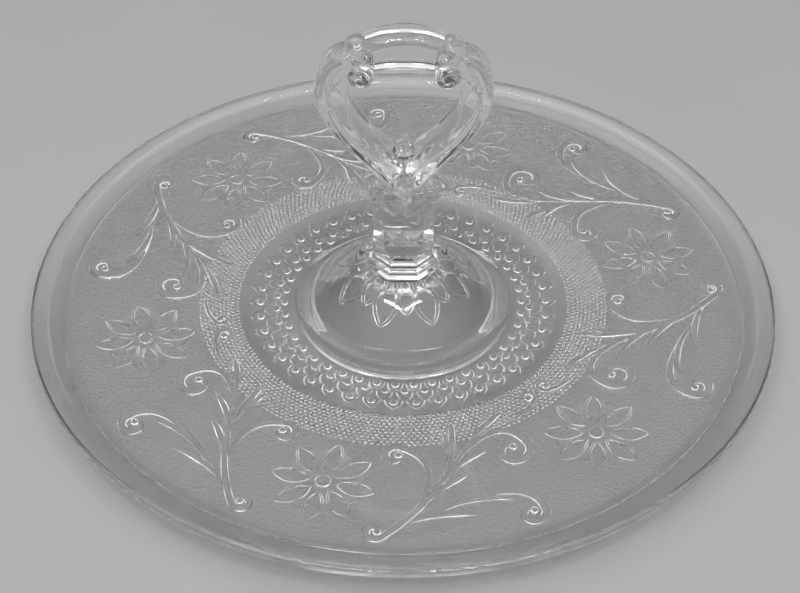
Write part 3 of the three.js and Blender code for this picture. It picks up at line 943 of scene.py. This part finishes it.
class CAKEPLATE_OT_handle(bpy.types.Operator):
    """Melt the bars of the loop together, and add the collar, post, tail and scroll ends"""
    bl_idname = "cakeplate.handle"
    bl_label = "Handle"

    def execute(self, context):
        sizes = context.scene.cake_plate_handle
        finish = context.scene.cake_plate_glass
        handle = loop_bars(sizes)
        tools = [
            to_object(collar_shape(), "collar"),
            to_object(post_shape(), "post"),
            to_object(tail_shape(), "tail"),
        ]
        rolls, swirls, knobs, lines = (bmesh.new() for _ in range(4))
        for side in (1, -1):
            scroll_end(
                rolls, swirls, EAR, side, EAR_RADIUS, EAR_SPAN, cap=EAR_RADIUS, waist=1.0, turns=1.6)
        for side in (1, -1):
            scroll_end(
                rolls, swirls, VOLUTE, side, sizes.volute, VOLUTE_SPAN, VOLUTE_CAP, waist=0.8, turns=2.1)
            knob(knobs, side * KNOB.x, KNOB.y, KNOB_RADIUS, KNOB_REACH, KNOB_DROP)
        bmesh.ops.create_uvsphere(
            knobs, u_segments=BAR_SIDES, v_segments=16, radius=BOSS_RADIUS, matrix=Matrix.Translation(BOSS))
        edge_lines(lines, [ray_tree(shape) for shape in (handle, *tools)])
        curls(lines, BOSS, BOSS_RADIUS)
        for shapes, name in ((rolls, "rolls"), (swirls, "swirls"), (knobs, "knobs"), (lines, "lines")):
            tools.append(to_object(recalc(shapes), name))
        for material in (polished_glass(finish), fused_joint(finish)):
            handle.data.materials.append(material)
        fuse(handle, tools)
        shade(handle, sharp_degrees=40)
        dress(handle, "handle")
        return {"FINISHED"}


# Materials
def glass_shader(name, finish):
    """A clear glass: the constants stand on the shader's own sockets"""
    material = bpy.data.materials.new(name)
    material.use_nodes = True
    shader = material.node_tree.nodes["Principled BSDF"]
    shader.inputs["Base Color"].default_value = (*finish.tint, 1)
    shader.inputs["Roughness"].default_value = 0
    shader.inputs["IOR"].default_value = finish.ior
    shader.inputs["Transmission Weight"].default_value = 1
    return material, shader


def uneven_glass(finish, name, texture, height, settings, strength, distance):
    """Clear glass with a surface made uneven by a texture, made once for all pieces"""
    if name in bpy.data.materials:
        return bpy.data.materials[name]
    material, shader = glass_shader(name, finish)
    nodes = material.node_tree.nodes
    links = material.node_tree.links
    place = nodes.new("ShaderNodeTexCoord")
    pattern = nodes.new(texture)
    for socket, value in settings.items():
        pattern.inputs[socket].default_value = value
    bump = nodes.new("ShaderNodeBump")
    bump.inputs["Strength"].default_value = strength
    bump.inputs["Distance"].default_value = distance
    links.new(place.outputs["Object"], pattern.inputs["Vector"])
    links.new(pattern.outputs[height], bump.inputs["Height"])
    links.new(bump.outputs["Normal"], shader.inputs["Normal"])
    return material


def polished_glass(finish):
    """Fire-polished glass, with the slow waves that the mould leaves"""
    return uneven_glass(
        finish, "polished_glass", "ShaderNodeTexNoise", "Fac", {"Scale": 55, "Detail": 1},
        strength=0.25, distance=0.3 * MM)


def stippled_glass(finish):
    """The ground of the border, covered in fine dots"""
    return uneven_glass(
        finish, "stippled_glass", "ShaderNodeTexVoronoi", "Distance", {"Scale": 800},
        strength=0.9, distance=0.3 * MM)


def pressed_glass(finish):
    """The raised ornament, a little less even than the polished side"""
    return uneven_glass(
        finish, "pressed_glass", "ShaderNodeTexNoise", "Fac", {"Scale": 260, "Detail": 2},
        strength=0.2, distance=0.2 * MM)


def fused_joint(finish):
    """Where the handle is joined hot to the crown: glass meets glass and bends no light"""
    name = "fused_joint"
    if name in bpy.data.materials:
        return bpy.data.materials[name]
    material, shader = glass_shader(name, finish)
    shader.inputs["Base Color"].default_value = (1, 1, 1, 1)
    shader.inputs["IOR"].default_value = 1
    return material


def floor_finish(colour):
    """A plain pale floor with the faintest cloud in it"""
    material = bpy.data.materials.new("floor")
    material.use_nodes = True
    nodes = material.node_tree.nodes
    links = material.node_tree.links
    shader = nodes["Principled BSDF"]
    shader.inputs["Roughness"].default_value = 0.9
    shader.inputs["Specular IOR Level"].default_value = 0.1
    place = nodes.new("ShaderNodeTexCoord")
    cloud = nodes.new("ShaderNodeTexNoise")
    cloud.inputs["Scale"].default_value = 9
    cloud.inputs["Detail"].default_value = 3
    ramp = nodes.new("ShaderNodeValToRGB")
    for stop, share in zip(ramp.color_ramp.elements, (0.96, 1.04)):
        stop.color = (*(share * part for part in colour), 1)
    links.new(place.outputs["Object"], cloud.inputs["Vector"])
    links.new(cloud.outputs["Fac"], ramp.inputs["Fac"])
    links.new(ramp.outputs["Color"], shader.inputs["Base Color"])
    return material


# Stage: lengths in metres, power in watts
FLOOR_RADIUS = 3
FLOOR_DROP = 0.2 * MM
SOFTBOX = {"place": (-0.7, 0.5, 1.6), "size": (1.6, 1.2), "power": 3}
TUBE_SIZE = (0.9, 0.05)
TUBE_POWER = 5.4
TUBE_ASIDE = 0.5
TUBE_ROWS = (0.55, 1.15)
TUBE_HEIGHT = 1.8

# The light of the surroundings by height, from the horizon up to overhead
SURROUND = ((0.0, (0.03, 0.03, 0.031)), (0.5, (0.13, 0.13, 0.132)), (0.84, (0.95, 0.95, 0.955)))

SENSOR = 36
CAMERA_ROLL = math.radians(0.25)
CAMERA_TARGET = Vector((-1.35, -0.35, 8.1)) * MM

# Light that is caught in thick glass turns many times before it leaves
LIGHT_TURNS = 32


def add_lamp(name, place, size, power):
    """An oblong lamp that faces the plate"""
    lamp = bpy.data.lights.new(name, "AREA")
    lamp.shape = "RECTANGLE"
    lamp.size, lamp.size_y = size
    lamp.energy = power
    obj = bpy.data.objects.new(name, lamp)
    obj.location = place
    obj.rotation_euler = Vector(place).to_track_quat("Z", "Y").to_euler()
    bpy.context.scene.collection.objects.link(obj)


def add_lamps():
    """One softbox, and two rows of tubes ahead of the plate"""
    add_lamp("softbox", **SOFTBOX)
    for side, name in ((-1, "left"), (1, "right")):
        for row, ahead in enumerate(TUBE_ROWS):
            place = (side * TUBE_ASIDE, -ahead, TUBE_HEIGHT)
            add_lamp(f"tube_{row}_{name}", place, TUBE_SIZE, TUBE_POWER)


def add_surround(scene):
    """Surroundings that are dark at the horizon and bright overhead"""
    world = bpy.data.worlds.new("studio")
    scene.world = world
    world.use_nodes = True
    nodes = world.node_tree.nodes
    links = world.node_tree.links
    place = nodes.new("ShaderNodeTexCoord")
    parts = nodes.new("ShaderNodeSeparateXYZ")
    ramp = nodes.new("ShaderNodeValToRGB")
    stops = ramp.color_ramp.elements
    stops.new(SURROUND[1][0])
    for stop, (height, colour) in zip(stops, SURROUND):
        stop.position = height
        stop.color = (*colour, 1)
    links.new(place.outputs["Generated"], parts.inputs["Vector"])
    links.new(parts.outputs["Z"], ramp.inputs["Fac"])
    links.new(ramp.outputs["Color"], nodes["Background"].inputs["Color"])


def add_camera(scene, settings):
    """The camera, before the plate and above it"""
    camera = bpy.data.cameras.new("camera")
    camera.lens = settings.lens
    camera.sensor_width = SENSOR
    viewer = bpy.data.objects.new("camera", camera)
    back = Vector((0, -math.cos(settings.elevation), math.sin(settings.elevation)))
    right = Vector((1, 0, 0))
    up = back.cross(right)
    turn = Matrix((
        right * math.cos(CAMERA_ROLL) + up * math.sin(CAMERA_ROLL),
        up * math.cos(CAMERA_ROLL) - right * math.sin(CAMERA_ROLL),
        back)).transposed()
    viewer.matrix_world = Matrix.Translation(CAMERA_TARGET + back * settings.distance) @ turn.to_4x4()
    scene.collection.objects.link(viewer)
    scene.camera = viewer


class CAKEPLATE_OT_stage(bpy.types.Operator):
    """Set the floor, the studio light and the camera"""
    bl_idname = "cakeplate.stage"
    bl_label = "Stage"

    def execute(self, context):
        scene = context.scene
        settings = scene.cake_plate_stage
        bm = bmesh.new()
        below = Matrix.Translation((0, 0, -FLOOR_DROP))
        bmesh.ops.create_circle(bm, cap_ends=True, segments=64, radius=FLOOR_RADIUS, matrix=below)
        floor = to_object(bm, "floor", [floor_finish(settings.floor)])
        add_lamps()
        add_surround(scene)
        add_camera(scene, settings)
        scene.view_settings.view_transform = "Standard"
        scene.cycles.max_bounces = LIGHT_TURNS
        scene.cycles.glossy_bounces = LIGHT_TURNS
        scene.cycles.transmission_bounces = LIGHT_TURNS
        return {"FINISHED"}


class CAKEPLATE_PT_panel(bpy.types.Panel):
    """Pieces of the cake plate"""
    bl_label = "Cake Plate"
    bl_idname = "CAKEPLATE_PT_panel"
    bl_space_type = "VIEW_3D"
    bl_region_type = "UI"
    bl_category = "Cake Plate"

    def draw(self, context):
        for name, operator in (
                ("cake_plate_sizes", CAKEPLATE_OT_plate), ("cake_plate_handle", CAKEPLATE_OT_handle),
                ("cake_plate_glass", None), ("cake_plate_stage", CAKEPLATE_OT_stage)):
            box = self.layout.box()
            group = getattr(context.scene, name)
            for key in group.__annotations__:
                box.prop(group, key)
            if operator:
                box.operator(operator.bl_idname)


GROUPS = {
    "cake_plate_sizes": PlateSizes,
    "cake_plate_handle": HandleSizes,
    "cake_plate_glass": GlassFinish,
    "cake_plate_stage": StageSettings,
}
CLASSES = (*GROUPS.values(), CAKEPLATE_OT_plate, CAKEPLATE_OT_handle, CAKEPLATE_OT_stage, CAKEPLATE_PT_panel)


def register():
    """Make the settings, operators and panel known to Blender"""
    for cls in CLASSES:
        bpy.utils.register_class(cls)
    for name, group in GROUPS.items():
        setattr(bpy.types.Scene, name, PointerProperty(type=group))


def unregister():
    """Take them away again"""
    for name in GROUPS:
        delattr(bpy.types.Scene, name)
    for cls in reversed(CLASSES):
        bpy.utils.unregister_class(cls)


def main():
    """Build both pieces and the stage"""
    register()
    bpy.ops.cakeplate.plate()
    bpy.ops.cakeplate.handle()
    bpy.ops.cakeplate.stage()


if __name__ == "__main__":
    main()
